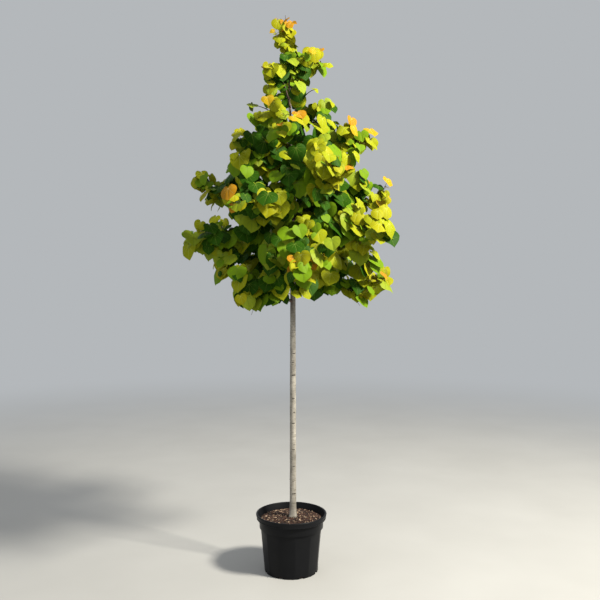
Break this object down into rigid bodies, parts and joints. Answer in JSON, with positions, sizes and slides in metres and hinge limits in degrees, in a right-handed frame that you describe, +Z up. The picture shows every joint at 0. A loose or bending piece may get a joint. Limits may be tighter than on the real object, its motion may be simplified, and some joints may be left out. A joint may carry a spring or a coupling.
{
  "type": "potted eastern redbud tree",
  "caption": "Young eastern redbud grown as a standard: a clear stem under a narrow cone of heart-shaped green and golden leaves, in a round black nursery pot.",
  "frame": {"origin": "centre of the pot's flat underside, on the ground", "axes": "+Z up along the stem; -Y towards the front that the picture shows; +X to the right of that view"},
  "size_m": [1.1536, 1.1587, 3.032],
  "materials": {
    "pot": "satin",
    "bark_mulch": "matte",
    "trunk_bark": "matte",
    "bough_bark": "matte",
    "green_foliage": "matte",
    "gold_foliage": "matte",
    "young_foliage": "matte"
  },
  "bodies": {
    "root": {"pot": "pot", "potting_mix": "bark_mulch", "trunk": "trunk_bark", "bough_01": "bough_bark", "bough_02": "bough_bark", "bough_03": "bough_bark", "bough_04": "bough_bark", "bough_05": "bough_bark", "bough_06": "bough_bark", "bough_07": "bough_bark", "bough_08": "bough_bark", "bough_09": "bough_bark", "bough_10": "bough_bark", "bough_11": "bough_bark", "bough_12": "bough_bark", "bough_13": "bough_bark", "bough_14": "bough_bark", "bough_15": "bough_bark", "bough_16": "bough_bark", "bough_17": "bough_bark", "bough_18": "bough_bark", "bough_19": "bough_bark", "bough_20": "bough_bark", "bough_21": "bough_bark", "bough_22": "bough_bark", "bough_23": "bough_bark", "foliage_01": "gold_foliage", "foliage_02": "green_foliage", "foliage_03": "green_foliage", "foliage_04": "gold_foliage", "foliage_05": "green_foliage", "foliage_06": "green_foliage", "foliage_07": "gold_foliage", "foliage_08": "green_foliage", "foliage_09": "green_foliage", "foliage_10": "gold_foliage", "foliage_11": "green_foliage", "foliage_12": "green_foliage", "foliage_13": "gold_foliage", "foliage_14": "green_foliage", "foliage_15": "green_foliage", "foliage_16": "gold_foliage", "foliage_17": "green_foliage", "foliage_18": "green_foliage", "foliage_19": "gold_foliage", "foliage_20": "green_foliage", "foliage_21": "green_foliage", "foliage_22": "gold_foliage", "foliage_23": "green_foliage", "foliage_leader": "young_foliage"}
  },
  "joints": []
}
